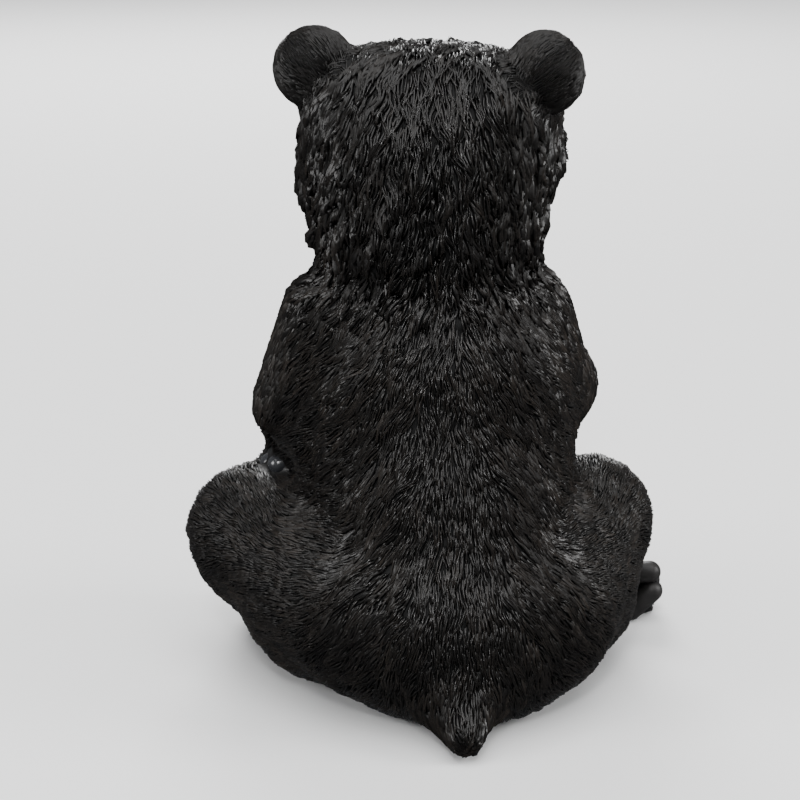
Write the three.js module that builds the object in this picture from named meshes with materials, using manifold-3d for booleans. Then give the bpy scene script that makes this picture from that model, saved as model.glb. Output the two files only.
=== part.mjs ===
// A seated bear cub, cast in one piece, with a carved coat and a flat underside.
// Lengths are in millimetres. +Z is up, the bear faces -Y, and its left side is +X.
import * as THREE from "three";
import { mergeVertices } from "three/addons/utils/BufferGeometryUtils.js";
import Module from "manifold-3d";

// Driving dimensions
const HEIGHT = 340; // ear tips above the ground
const HEAD_TURN = THREE.MathUtils.degToRad(-17); // the head looks towards the bear's right
const COAT_COLOUR = 0x211f1e;

// The figure's places, radii and spacings are written as shares of its height.
const SHARES = 337.5; // from the cut to the ear tips
const CUT = 3; // the shares above the lowest point of its masses at which it is cut off flat
const unit = HEIGHT / SHARES;
const at = (x, y, z) => new THREE.Vector3(x, y, z).multiplyScalar(unit);
const mirrored = (v) => new THREE.Vector3(-v.x, v.y, v.z);
const bothSides = ([place, way]) => [[place, way], [mirrored(place), mirrored(way)]];

// Distance to an ellipsoid, negative inside, close to true near its surface.
function ellipsoid(centre, radii, turn = [0, 0, 0]) {
  const back = new THREE.Quaternion()
    .setFromEuler(new THREE.Euler(...turn.map(THREE.MathUtils.degToRad)))
    .invert();
  const q = new THREE.Vector3();
  return (p) => {
    q.copy(p).sub(centre).applyQuaternion(back).divide(radii);
    const k0 = q.length();
    const k1 = q.divide(radii).length();
    return k1 > 0 ? (k0 * (k0 - 1)) / k1 : -Math.min(radii.x, radii.y, radii.z);
  };
}

// Distance to a limb that runs straight from one round end to another.
function limb(from, to, fromRadius, toRadius) {
  const along = new THREE.Vector3().subVectors(to, from);
  const length2 = along.lengthSq();
  const q = new THREE.Vector3();
  return (p) => {
    const t = THREE.MathUtils.clamp(q.subVectors(p, from).dot(along) / length2, 0, 1);
    const radius = THREE.MathUtils.lerp(fromRadius, toRadius, t);
    return q.addScaledVector(along, -t).length() - radius * unit;
  };
}

// Two distances joined with a fillet of about the given size.
function blend(a, b, size) {
  const h = Math.max(size - Math.abs(a - b), 0) / size;
  return Math.min(a, b) - (h * h * size) / 4;
}

// Masses are pairs: the distance to one, and the size of the fillet that joins it to the rest.
// The trunk: a broad seat, a belly, a rounded back that slopes down to the seat over the loins,
// shoulders and a thick neck.
const trunk = [
  [ellipsoid(at(-2.5, 50, 50), at(72.5, 64, 60)), 10],
  [ellipsoid(at(1.5, 2, 90), at(70.5, 62, 78)), 20],
  [ellipsoid(at(0, 22, 148), at(66, 52, 80)), 24],
  [ellipsoid(at(0, 41, 105), at(54, 50, 48)), 20],
  [ellipsoid(at(0, -8, 180), at(58, 46, 50)), 20],
  [ellipsoid(at(5, 2, 238), at(55, 52, 46)), 16],
];

// The arms hang from the shoulders. The left paw rests on the left knee, the right one on the chest.
const LEFT_ELBOW = at(63, -4, 147);
const LEFT_WRIST = at(68, -36, 109);
const LEFT_PALM = at(74, -44, 94.5);
const RIGHT_ELBOW = at(-61, -22, 150);
const RIGHT_WRIST = at(-40, -57, 146);
const RIGHT_PALM = at(-27, -63, 146);
const arms = [
  [limb(at(48, 6, 191), LEFT_ELBOW, 31.5, 30), 13],
  [limb(LEFT_ELBOW, LEFT_WRIST, 25, 16), 4],
  [ellipsoid(LEFT_PALM, at(15, 20, 13), [-15, 8, 0]), 18],
  [limb(at(-40, 6, 190), at(-56, 0, 150), 30, 25), 13],
  [limb(at(-58, -8, 153), RIGHT_ELBOW, 25, 27), 5],
  [limb(RIGHT_ELBOW, RIGHT_WRIST, 25, 17), 5],
  [ellipsoid(RIGHT_PALM, at(17, 13, 15), [0, 0, 20]), 6],
];

// The legs are splayed: haunches out to the sides, knees up, soles forward.
const LEFT_KNEE = at(94, -18, 74.5);
const RIGHT_KNEE = at(-85, -14, 75);
const LEFT_HEEL = at(76, -70, 19);
const RIGHT_SHIN = at(-76, -12, 32);
const RIGHT_HEEL = at(-84, -44, 20);
const LEFT_SOLE = at(77, -84, 31);
const RIGHT_SOLE = at(-100, -62, 20);
const RIGHT_SOLE_TILT = -45; // degrees: it faces forward and up
const legs = [
  [limb(at(41, 46, 56), LEFT_KNEE, 46, 33.5), 10],
  [ellipsoid(at(57, 17, 45), at(41, 42, 39)), 12],
  [limb(LEFT_KNEE, LEFT_HEEL, 31, 20), 8],
  [ellipsoid(LEFT_SOLE, at(23, 14, 29), [12, 0, 0]), 6],
  [limb(at(-41, 46, 54), RIGHT_KNEE, 48, 32), 9],
  [ellipsoid(at(-61, 9, 43), at(44, 42, 39)), 12],
  [limb(RIGHT_KNEE, RIGHT_SHIN, 32, 29), 8],
  [limb(RIGHT_SHIN, RIGHT_HEEL, 29, 20), 8],
  [ellipsoid(RIGHT_SOLE, at(26, 14, 24), [RIGHT_SOLE_TILT, 0, 0]), 8],
];

// A short stub of a tail, which lies on the ground behind.
const TAIL_ROOT = at(2, 96, 26);
const TAIL_TIP = at(1, 139, 5);
const tail = [[limb(TAIL_ROOT, TAIL_TIP, 22, 3), 14]];

// The head, in its own frame: round skull, full cheeks, a short deep muzzle.
const HEAD_AT = at(0, -10, 280);
const head = [
  [ellipsoid(at(2, 6, -6), at(62, 56, 50)), 16],
  [ellipsoid(at(30, 4, 21), at(35, 41, 27)), 12],
  [ellipsoid(at(-28, 4, 21), at(35, 41, 27)), 12],
  [ellipsoid(at(0, 4, 22), at(42, 41, 28)), 12],
  [ellipsoid(at(40, -16, -18), at(31, 31, 32)), 12],
  [ellipsoid(at(-35, -22, -6), at(27, 30, 27)), 10],
  [ellipsoid(at(0, -34, 10), at(43, 24, 28)), 12],
  [limb(at(0, -38, -14), at(0, -67, -18), 28, 21), 10],
  [ellipsoid(at(0, -66, -33), at(17, 17, 11)), 6],
];

// From the figure's frame to the head's own, and back.
const UP = new THREE.Vector3(0, 0, 1);
const toHead = (p, out) => out.copy(p).sub(HEAD_AT).applyAxisAngle(UP, -HEAD_TURN);
const fromHead = (p) => p.clone().applyAxisAngle(UP, HEAD_TURN).add(HEAD_AT);

const inHead = new THREE.Vector3();
const fold = (d, p, masses) =>
  masses.reduce((near, [mass, size]) => blend(near, mass(p), size * unit), d);

// Distance to the figure's skin, without what is set on it afterwards.
function skin(p) {
  let d = trunk[0][0](p);
  d = fold(d, p, trunk.slice(1));
  d = fold(d, p, legs);
  d = fold(d, p, tail);
  d = fold(d, p, arms);
  return fold(d, toHead(p, inHead), head);
}

// Which way the distance grows fastest at a place: straight out of the skin.
const SLOPE_STEP = 0.2 * unit;
function slope(p) {
  const q = p.clone();
  const sides = ["x", "y", "z"].map((axis) => {
    q[axis] += SLOPE_STEP;
    const above = skin(q);
    q[axis] -= 2 * SLOPE_STEP;
    const below = skin(q);
    q[axis] += SLOPE_STEP;
    return (above - below) / (2 * SLOPE_STEP);
  });
  return new THREE.Vector3(...sides);
}

// Moves a point straight onto the skin.
const SETTLE_STEPS = 4;
const LEAST_SLOPE = 0.05; // keeps a step short in a crease, where the distance hardly changes
function settle(p) {
  for (let step = 0; step < SETTLE_STEPS; step++) {
    const g = slope(p);
    p.addScaledVector(g, -skin(p) / Math.max(g.lengthSq(), LEAST_SLOPE));
  }
  return p;
}

// The lie of the coat: at each guide the locks point the way given, and between guides they blend.
const headGuides = [
  [at(0, 60, 10), at(0, 0.1, -1)],
  [at(0, 10, 52), at(0, 1, 0)],
  [at(0, -40, 30), at(0, 0.5, 1)],
  [at(0, -85, -5), at(0, 1, 0.3)],
  ...[
    [at(60, 25, 20), at(0.3, 0.5, -1)],
    [at(60, 0, -18), at(0.6, 0.5, -0.8)],
    [at(30, -45, 10), at(0.7, 0.4, 0.3)],
    [at(35, -50, -30), at(0.6, 0.4, -0.7)],
  ].flatMap(bothSides),
];
const bodyGuides = [
  [at(8, 78, 150), at(-0.1, 0.1, -1)],
  [at(0, 100, 80), at(0, 0.2, -1)],
  [at(0, 130, 30), at(0, 1, -0.4)],
  [at(0, -50, 205), at(0, 0, -1)],
  [at(0, -65, 100), at(0, 0, -1)],
  [at(85, 0, 160), at(0, -0.3, -1)],
  [at(82, -15, 130), at(0.2, -1, -0.8)],
  [at(-85, -10, 165), at(0, -0.3, -1)],
  [at(-60, -50, 150), at(0.8, -0.9, 0)],
  ...[
    [at(28, 70, 190), at(0.5, 0, -1)],
    [at(34, 75, 130), at(0.7, 0, -1)],
    [at(60, 45, 150), at(1, -0.5, -0.6)],
    [at(70, 10, 195), at(0.3, -0.3, -1)],
    [at(45, 35, 235), at(0.3, 0.1, -1)],
    [at(45, 95, 60), at(0.9, 0, -0.6)],
    [at(30, 110, 30), at(0.4, 0.3, -1)],
    [at(85, 45, 75), at(0.5, -1, -0.2)],
    [at(105, 5, 60), at(0.2, -1, -0.3)],
    [at(80, -40, 50), at(0, -0.6, -0.8)],
    [at(40, -60, 150), at(0, 0, -1)],
  ].flatMap(bothSides),
];
const guides = [
  ...bodyGuides,
  ...headGuides.map(([place, way]) => [fromHead(place), way.clone().applyAxisAngle(UP, HEAD_TURN)]),
];
function lie(p) {
  const way = new THREE.Vector3();
  for (const [place, direction] of guides)
    way.addScaledVector(direction, 1 / Math.max(place.distanceToSquared(p) ** 2, unit));
  return way;
}

const EYE = at(20, -62, 6); // in the head's own frame

// Bare places: muzzle and eyes, palms, soles and toes.
const bare = [
  [fromHead(at(0, -78, -16)), 34],
  [fromHead(EYE), 13],
  [fromHead(mirrored(EYE)), 13],
  [LEFT_PALM, 22],
  [RIGHT_PALM, 22],
  [at(77, -92, 34), 34],
  [at(-114, -68, 22), 36],
];
const UNDERSIDE = 9; // no locks below this height
const RUFF_FROM = 200; // the locks stand further out from here up
const RUFF_FULL = 235; // and are at their longest from here up
const BODY_LOCK = { height: 2.2, drag: 3 };
const RUFF_LOCK = { height: 3.6, drag: 4 };
const LOCK_ROOM = 7; // a lock in a crease, with less than this in front of it, is lower
const CREASE = [0.5, 0.95]; // shares of that room at which locks start and are whole
const UNEVENNESS = 0.2; // how much lower than the highest the lowest locks are, over two
const STAGGER = 2.4; // radians from one lock's height to the next's
const isCoat = (p) =>
  p.z > UNDERSIDE * unit && bare.every(([place, radius]) => place.distanceTo(p) > radius * unit);

// The crest of a lock: raised off the skin, and drawn out along the lie of the coat.
function crest(p, i) {
  if (!isCoat(p)) return;
  const up = slope(p).normalize();
  const room = skin(p.clone().addScaledVector(up, LOCK_ROOM * unit)) / (LOCK_ROOM * unit);
  const free = THREE.MathUtils.smoothstep(room, ...CREASE) * (1 - UNEVENNESS * (1 - Math.sin(i * STAGGER)));
  const ruff = THREE.MathUtils.smoothstep(p.z, RUFF_FROM * unit, RUFF_FULL * unit);
  const size = (key) => THREE.MathUtils.lerp(BODY_LOCK[key], RUFF_LOCK[key], ruff) * free * unit;
  const along = lie(p).projectOnPlane(up).normalize();
  settle(p.addScaledVector(along, size("drag")));
  p.addScaledVector(slope(p).normalize(), size("height"));
}

// Places along one axis of the grid, from a start through stretches that each have a spacing.
const ticks = (start, ...stretches) => stretches.reduce((list, [end, cell]) => {
  while (list.at(-1) < end * unit) list.push(list.at(-1) + cell * unit);
  return list;
}, [start * unit]);

const EVENING_PASSES = 2;

// The skin as a closed mesh: one vertex in each grid cell that the surface crosses,
// and one four-sided face across each grid edge that it crosses.
function skinGeometry(xs, ys, zs) {
  const index = (i, j, k) => i + xs.length * (j + ys.length * k);
  const field = new Float32Array(xs.length * ys.length * zs.length);
  zs.forEach((z, k) => ys.forEach((y, j) => xs.forEach((x, i) => {
    field[index(i, j, k)] = skin(new THREE.Vector3(x, y, z));
  })));

  const steps = [1, xs.length, xs.length * ys.length];
  const corners = [0, 1, 2, 3, 4, 5, 6, 7].map((c) => [c & 1, (c >> 1) & 1, c >> 2]);
  const edges = corners.flatMap((_, c) => [1, 2, 4].filter((bit) => !(c & bit)).map((bit) => [c, c | bit]));
  const vertexOf = new Map();
  const positions = [];
  const isCrest = [];
  for (let k = 0; k < zs.length - 1; k++)
    for (let j = 0; j < ys.length - 1; j++)
      for (let i = 0; i < xs.length - 1; i++) {
        const values = corners.map(([a, b, c]) => field[index(i + a, j + b, k + c)]);
        const crossed = edges.filter(([from, to]) => values[from] < 0 !== values[to] < 0);
        if (!crossed.length) continue;
        const places = corners.map(([a, b, c]) => new THREE.Vector3(xs[i + a], ys[j + b], zs[k + c]));
        const sum = new THREE.Vector3();
        for (const [from, to] of crossed)
          sum.add(places[from].clone().lerp(places[to], values[from] / (values[from] - values[to])));
        vertexOf.set(index(i, j, k), positions.length);
        isCrest.push((i + j + k) % 2 === 0);
        positions.push(sum.divideScalar(crossed.length));
      }

  const faces = [];
  for (let axis = 0; axis < 3; axis++) {
    const [u, v] = [steps[(axis + 1) % 3], steps[(axis + 2) % 3]];
    for (const base of vertexOf.keys()) {
      const inside = field[base] < 0;
      if (inside === field[base + steps[axis]] < 0) continue;
      const ring = [base, base - u, base - u - v, base - v].map((b) => vertexOf.get(b));
      if (ring.includes(undefined)) throw new Error("the grid is too small for the figure");
      faces.push(inside ? ring : ring.reverse());
    }
  }

  // Even out the vertices along the surface, then put them exactly on it.
  for (let pass = 0; pass < EVENING_PASSES; pass++) {
    const sums = positions.map(() => new THREE.Vector4(0, 0, 0, 0));
    for (const ring of faces)
      ring.forEach((v, i) => {
        const next = positions[ring[(i + 1) % 4]];
        sums[v].add(new THREE.Vector4(next.x, next.y, next.z, 1));
      });
    positions.forEach((p, i) => {
      const mean = new THREE.Vector3(sums[i].x, sums[i].y, sums[i].z).divideScalar(sums[i].w);
      settle(p.lerp(mean, 0.5));
    });
  }

  // Each face is parted along the lie of the coat, so that ridges and furrows both follow it.
  const diagonal = (a, b) => {
    const line = positions[b].clone().sub(positions[a]);
    if (!isCoat(positions[a])) return line.length();
    return -Math.abs(lie(positions[a]).normalize().dot(line.normalize()));
  };
  const triangles = faces.flatMap(([a, b, c, d]) =>
    diagonal(a, c) < diagonal(b, d) ? [a, b, c, a, c, d] : [b, c, d, b, d, a]);
  positions.forEach((p, i) => isCrest[i] && crest(p, i));
  return meshOf(positions, triangles);
}

function meshOf(points, triangles) {
  const geometry = new THREE.BufferGeometry().setFromPoints(points);
  geometry.setIndex(triangles);
  return geometry;
}

const wasm = await Module();
wasm.setup();
const join = (pieces) => pieces.reduce((whole, piece) => whole.add(piece));

// A geometry placed by a matrix, as a solid that can be joined and cut.
function solid(geometry, matrix = new THREE.Matrix4()) {
  const bare = new THREE.BufferGeometry();
  bare.setAttribute("position", geometry.getAttribute("position").clone());
  if (geometry.index) bare.setIndex(geometry.index.clone());
  const merged = mergeVertices(bare.applyMatrix4(matrix));
  return new wasm.Manifold(
    new wasm.Mesh({
      numProp: 3,
      vertProperties: merged.attributes.position.array,
      triVerts: new Uint32Array(merged.index.array),
    }),
  );
}

// Turns +Y onto a direction, and puts the origin at a place.
function pointing(place, direction) {
  const turn = new THREE.Quaternion().setFromUnitVectors(new THREE.Vector3(0, 1, 0), direction);
  return new THREE.Matrix4().compose(place, turn, new THREE.Vector3(1, 1, 1));
}

// An ear: a round, thick shell of an ear, domed behind and hollow in front.
const EAR_AT = at(58.5, 14, 40);
const EAR_RADIUS = 21 * unit;
const EAR_DOME = 17 * unit; // how far it bulges behind
const EAR_LIP = 7.5 * unit; // how far its rim stands forward
const EAR_FLARE = 0.32; // radians that it is turned outwards
const HOLLOW_REACH = 1.35; // the hollow ends where this times the square of the share of the radius is 1
const HOLLOW_DEPTH = 1.1; // at the middle, as a share of the lip
function ear(side) {
  const geometry = new THREE.SphereGeometry(1, 14, 10);
  const position = geometry.getAttribute("position");
  for (let i = 0; i < position.count; i++) {
    const v = new THREE.Vector3().fromBufferAttribute(position, i);
    const hollow = HOLLOW_DEPTH * Math.max(0, 1 - HOLLOW_REACH * (v.x * v.x + v.z * v.z));
    const y = v.y > 0 ? v.y * EAR_DOME : v.y * (1 - hollow) * EAR_LIP;
    position.setXYZ(i, v.x * EAR_RADIUS, y, v.z * EAR_RADIUS);
  }
  const place = new THREE.Vector3(side * EAR_AT.x, EAR_AT.y, EAR_AT.z);
  const turn = new THREE.Matrix4().makeRotationZ(side * EAR_FLARE + HEAD_TURN);
  return solid(geometry, turn.setPosition(fromHead(place)));
}

// A toe with its claw, from a knuckle out to the tip.
const TOE_SIDES = 6;
const CLAW_SIDES = 5;
const CLAW_ROOT = 0.42; // a claw's radius at its root, as a share of the toe's
const CLAW_SEAT = 0.55; // how far up the toe's round end it sits, as a share of that end's radius
function toe(from, out, length, radius, clawOut, clawLength) {
  const capsule = new THREE.CapsuleGeometry(radius, length, 2, TOE_SIDES);
  const middle = from.clone().addScaledVector(out, length / 2);
  const tip = from.clone().addScaledVector(out, length + radius * CLAW_SEAT);
  const claw = new THREE.ConeGeometry(radius * CLAW_ROOT, clawLength, CLAW_SIDES);
  const clawMiddle = tip.addScaledVector(clawOut, clawLength / 2);
  return [solid(capsule, pointing(middle, out)), solid(claw, pointing(clawMiddle, clawOut))];
}

// Five toes along a bowed line across the paw, fanned, with the middle one stoutest.
const TOES = 5;
const OUTER_TOE = 0.86; // an outer toe's radius, as a share of the middle one's
function toes({ from, to, bow, out, fan, length, radius, clawOut, clawLength }) {
  return Array.from({ length: TOES }, (_, i) => {
    const t = i / (TOES - 1);
    const middle = 1 - (2 * t - 1) ** 2; // 1 at the middle toe, 0 at the outer two
    const way = out.clone().addScaledVector(fan, 2 * t - 1).normalize();
    const place = from.clone().lerp(to, t).addScaledVector(bow, middle);
    const size = radius * unit * THREE.MathUtils.lerp(OUTER_TOE, 1, middle);
    return toe(place, way, length * unit, size, clawOut.clone().normalize(), clawLength * unit);
  }).flat();
}

const way = (x, y, z) => new THREE.Vector3(x, y, z);
const leftHindToes = toes({
  from: at(58, -86, 46),
  to: at(96, -82, 44),
  bow: at(0, 0, 3),
  out: way(0.1, -0.25, 1),
  fan: way(0.3, 0, 0),
  length: 9,
  radius: 5.8,
  clawOut: way(0, -0.8, 0.7),
  clawLength: 7,
});
const rightHindToes = toes({
  from: at(-117, -46, 30.5),
  to: at(-99, -79, 9.5),
  bow: at(-12, 7, -11),
  out: way(-1, -0.1, 0),
  fan: way(0.3, -0.3, -0.1),
  length: 9,
  radius: 6.6,
  clawOut: way(-0.8, -0.6, 0),
  clawLength: 7,
});
const leftForeToes = toes({
  from: at(74, -29, 105),
  to: at(76, -62, 95),
  bow: at(3, 0, 1),
  out: way(1, -0.1, -0.35),
  fan: way(0, -0.3, 0),
  length: 7,
  radius: 5,
  clawOut: way(0.8, 0, -1),
  clawLength: 6.5,
});
const rightForeToes = toes({
  from: at(-18, -69, 158),
  to: at(-17, -71, 134),
  bow: at(3, 0, 0),
  out: way(1, -0.15, -0.1),
  fan: way(0, 0, -0.3),
  length: 7,
  radius: 4.8,
  clawOut: way(1, 0.1, -0.5),
  clawLength: 7,
});

// The face: eyes half sunk in the skin, a broad nose, and a groove for the mouth.
const EYE_RADIUS = 6.2 * unit;
const EYE_SINK = 2.4 * unit;
const onHead = (place) => settle(fromHead(place));
const inward = (place, depth) => place.addScaledVector(slope(place).normalize(), -depth);
const eyes = [EYE, mirrored(EYE)].map((place) => {
  const centre = inward(onHead(place), EYE_SINK);
  return solid(new THREE.SphereGeometry(EYE_RADIUS, 10, 8), new THREE.Matrix4().setPosition(centre));
});
const NOSE_AT = at(0, -86, -9);
const noseShape = new THREE.SphereGeometry(1, 12, 8).scale(12.5 * unit, 6.5 * unit, 8.5 * unit);
const nose = solid(noseShape, new THREE.Matrix4().makeRotationZ(HEAD_TURN).setPosition(fromHead(NOSE_AT)));

const GROOVE_SIDES = 5;
function groove(places, radius) {
  const path = new THREE.CatmullRomCurve3(places.map(onHead));
  const circle = new THREE.Path().absarc(0, 0, radius * unit, 0, 2 * Math.PI);
  const section = new THREE.Shape(circle.getPoints(GROOVE_SIDES));
  const settings = { extrudePath: path, steps: 2 * places.length, bevelEnabled: false };
  return solid(new THREE.ExtrudeGeometry(section, settings));
}
const CORNER = at(19, -58, -30);
const LIP_SIDE = at(12, -78, -32);
const LIP_MIDDLE = at(0, -87, -27);
const mouth = groove([CORNER, LIP_SIDE, LIP_MIDDLE, mirrored(LIP_SIDE), mirrored(CORNER)], 1.7);
const cleft = groove([at(0, -90, -17), at(0, -90, -22), LIP_MIDDLE], 1.5);

// Pads under the hind feet: low domes.
function pad(place, tilt) {
  const dome = new THREE.SphereGeometry(1, 10, 6).scale(15 * unit, 5 * unit, 16 * unit);
  return solid(dome, new THREE.Matrix4().makeRotationX(THREE.MathUtils.degToRad(tilt)).setPosition(place));
}
const pads = [pad(at(77, -95, 24), 0), pad(at(-97, -70, 28), RIGHT_SOLE_TILT)];

const SKIN_CELL = 10.4; // the grid's spacing over most of the figure
const FINE_CELL = 8.5; // and across the face, the head and the paws
const body = solid(
  skinGeometry(
    ticks(-150, [150, SKIN_CELL]),
    ticks(-130, [-30, FINE_CELL], [170, SKIN_CELL]),
    ticks(-14, [215, SKIN_CELL], [345, FINE_CELL]),
  ),
);
const below = new THREE.BoxGeometry(2 * HEIGHT, 2 * HEIGHT, HEIGHT);
const ground = solid(below, new THREE.Matrix4().setPosition(0, 0, CUT * unit - HEIGHT / 2));

const limbs = [...leftHindToes, ...rightHindToes, ...leftForeToes, ...rightForeToes, ...pads];
const joined = join([body, ...limbs, ear(1), ear(-1)])
  .subtract(mouth)
  .subtract(cleft)
  .add(join([...eyes, nose]))
  .subtract(ground);

// The casting is solid throughout, so a bubble that the joins close in is filled.
const figure = join(joined.decompose().filter((shell) => shell.volume() > 0));

// The figure as one mesh, standing on its underside, centred over the middle of its footprint.
function bearMesh() {
  const { numProp, vertProperties, triVerts } = figure.getMesh();
  const geometry = new THREE.BufferGeometry();
  const points = Array.from({ length: vertProperties.length / numProp }, (_, i) =>
    [...vertProperties.subarray(i * numProp, i * numProp + 3)]).flat();
  geometry.setAttribute("position", new THREE.Float32BufferAttribute(points, 3));
  geometry.setIndex([...triVerts]);
  geometry.computeBoundingBox();
  const middle = geometry.boundingBox.getCenter(new THREE.Vector3());
  geometry.translate(-middle.x, -middle.y, -geometry.boundingBox.min.z);
  const coat = new THREE.MeshStandardMaterial({ color: COAT_COLOUR, roughness: 0.55, metalness: 0 });
  const mesh = new THREE.Mesh(geometry, coat);
  mesh.name = "bear";
  return mesh;
}

const group = new THREE.Group();
group.add(bearMesh());
export default group;
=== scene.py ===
"""A seated bear cub figurine in cast resin: its carved coat and its finish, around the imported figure."""
import math

import bmesh
import bpy
import numpy as np
from mathutils import Matrix, Vector, noise
from mathutils.bvhtree import BVHTree
from mathutils.kdtree import KDTree


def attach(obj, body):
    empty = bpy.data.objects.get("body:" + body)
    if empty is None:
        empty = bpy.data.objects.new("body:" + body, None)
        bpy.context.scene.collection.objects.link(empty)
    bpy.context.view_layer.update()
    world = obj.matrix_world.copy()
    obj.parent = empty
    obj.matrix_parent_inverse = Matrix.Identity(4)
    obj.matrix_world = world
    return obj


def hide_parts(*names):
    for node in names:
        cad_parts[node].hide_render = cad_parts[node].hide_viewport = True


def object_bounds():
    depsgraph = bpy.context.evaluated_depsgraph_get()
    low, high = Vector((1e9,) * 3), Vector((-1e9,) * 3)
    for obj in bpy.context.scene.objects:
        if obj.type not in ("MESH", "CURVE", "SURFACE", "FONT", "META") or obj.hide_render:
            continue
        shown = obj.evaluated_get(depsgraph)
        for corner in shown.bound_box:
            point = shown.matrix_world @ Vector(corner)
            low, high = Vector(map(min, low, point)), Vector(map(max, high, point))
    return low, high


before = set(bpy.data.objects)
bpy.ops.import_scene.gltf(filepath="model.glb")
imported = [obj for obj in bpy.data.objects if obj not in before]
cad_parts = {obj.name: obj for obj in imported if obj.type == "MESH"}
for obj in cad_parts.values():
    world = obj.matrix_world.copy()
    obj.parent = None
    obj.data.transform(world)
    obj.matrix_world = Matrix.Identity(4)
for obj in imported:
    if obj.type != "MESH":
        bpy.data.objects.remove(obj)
cad_low, cad_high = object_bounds()

# The casting: the whole bear, a hollow shell of black resin poured in one rubber mould.
# It keeps the solid's form. Its facets are smoothed away, most on the coat and least where
# the mould holds small features: the ears, the face and the paws.
SHARES = 337.5  # the figure's height, in the shares that places on it are given in
MIDDLE = (-4.926, 16.678, 3.0)  # the frame's origin, in those shares
unit = (cad_high.z - cad_low.z) / SHARES
MILLI = 0.001
HEAD_AT = Vector((0, -10, 280))
HEAD_TURN = Matrix.Rotation(math.radians(-17), 3, "Z")


def spot(x, y, z):
    """A place on the figure, in metres, from shares of its height."""
    return (Vector((x, y, z)) - Vector(MIDDLE)) * unit


def head_way(x, y, z):
    """A direction given in the head's own frame, which is turned with it."""
    return HEAD_TURN @ Vector((x, y, z))


def head_spot(x, y, z):
    """A place on the head, in metres, from shares in the head's own frame."""
    return spot(*(head_way(x, y, z) + HEAD_AT))


EAR_RADIUS = 21 * unit
EARS = [head_spot(side * 58.5, 14, 40) for side in (1, -1)]
EYES = [head_spot(side * 16.4, -55.8, 3.5) for side in (1, -1)]
NOSE = head_spot(0, -86, -9)
MUZZLE = head_spot(0, -70, -18)
PALMS = [spot(74, -44, 94.5), spot(-27, -63, 146)]
SOLES = [spot(77, -90, 32), spot(-104, -68, 24)]

# For each fine place: how much of the smoothing it is spared, up to which distance in metres,
# and from which distance it is spared none.
FINE_PLACES = [
    (EARS, 0.9, 1.0 * EAR_RADIUS, 1.4 * EAR_RADIUS),
    ([MUZZLE, NOSE], 0.7, 0.022, 0.040),
    (EYES, 0.7, 0.008, 0.02),
    (PALMS, 0.7, 0.018, 0.028),
    (SOLES, 0.7, 0.030, 0.044),
]
CASTING_VOXEL = 2.4 * MILLI
SMOOTHING_ROUNDS = 20
bpy.ops.object.select_all(action="DESELECT")
bear = bpy.data.objects.new("bear_casting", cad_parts["bear"].data.copy())
bpy.context.collection.objects.link(bear)
bpy.context.view_layer.objects.active = bear
bear.select_set(True)
bpy.ops.object.mode_set(mode="EDIT")
bpy.ops.mesh.select_all(action="SELECT")
bpy.ops.mesh.remove_doubles(threshold=1e-6)
bpy.ops.object.mode_set(mode="OBJECT")


def finish_modifier(piece, kind, **settings):
    """Adds a modifier with its settings and applies it."""
    modifier = piece.modifiers.new(kind.lower(), kind)
    for name, value in settings.items():
        setattr(modifier, name, value)
    bpy.context.view_layer.objects.active = piece
    bpy.ops.object.modifier_apply(modifier=modifier.name)


def points_of(mesh):
    flat = np.empty(len(mesh.vertices) * 3)
    mesh.vertices.foreach_get("co", flat)
    return flat.reshape(-1, 3)


def normals_of(mesh):
    flat = np.empty(len(mesh.vertices) * 3)
    mesh.vertex_normals.foreach_get("vector", flat)
    return flat.reshape(-1, 3)


def distance_to(points, places):
    """From each point to the nearest of the places."""
    return np.min([np.linalg.norm(points - np.array(p), axis=1) for p in places], axis=0)


def rise(values, low, high):
    """0 up to low, 1 from high, smooth between."""
    t = np.clip((values - low) / (high - low), 0, 1)
    return t * t * (3 - 2 * t)


finish_modifier(bear, "REMESH", mode="VOXEL", voxel_size=CASTING_VOXEL)
points = points_of(bear.data)
fine = np.maximum.reduce([spared - spared * rise(distance_to(points, spots), near, far)
                          for spots, spared, near, far in FINE_PLACES])
smoothing = bear.vertex_groups.new(name="smoothing")
for i, share in enumerate(fine):
    smoothing.add([i], 1 - share, "REPLACE")
finish_modifier(bear, "SMOOTH", factor=0.5, iterations=SMOOTHING_ROUNDS, vertex_group="smoothing")
bear.vertex_groups.clear()

# Only the face is carved finer than the casting's own mesh: its skin is divided there.
FACE_REACH = 34 * MILLI
face_mesh = bmesh.new()
face_mesh.from_mesh(bear.data)
face_middle = head_spot(0, -72, -12)
near_face = [f for f in face_mesh.faces if (f.calc_center_median() - face_middle).length < FACE_REACH]
edges = list({e for f in near_face for e in f.edges})
bmesh.ops.subdivide_edges(face_mesh, edges=edges, cuts=1, use_grid_fill=True, smooth=0.0)
bmesh.ops.triangulate(face_mesh, faces=[f for f in face_mesh.faces if len(f.verts) > 4])
face_mesh.to_mesh(bear.data)
face_mesh.free()

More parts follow.
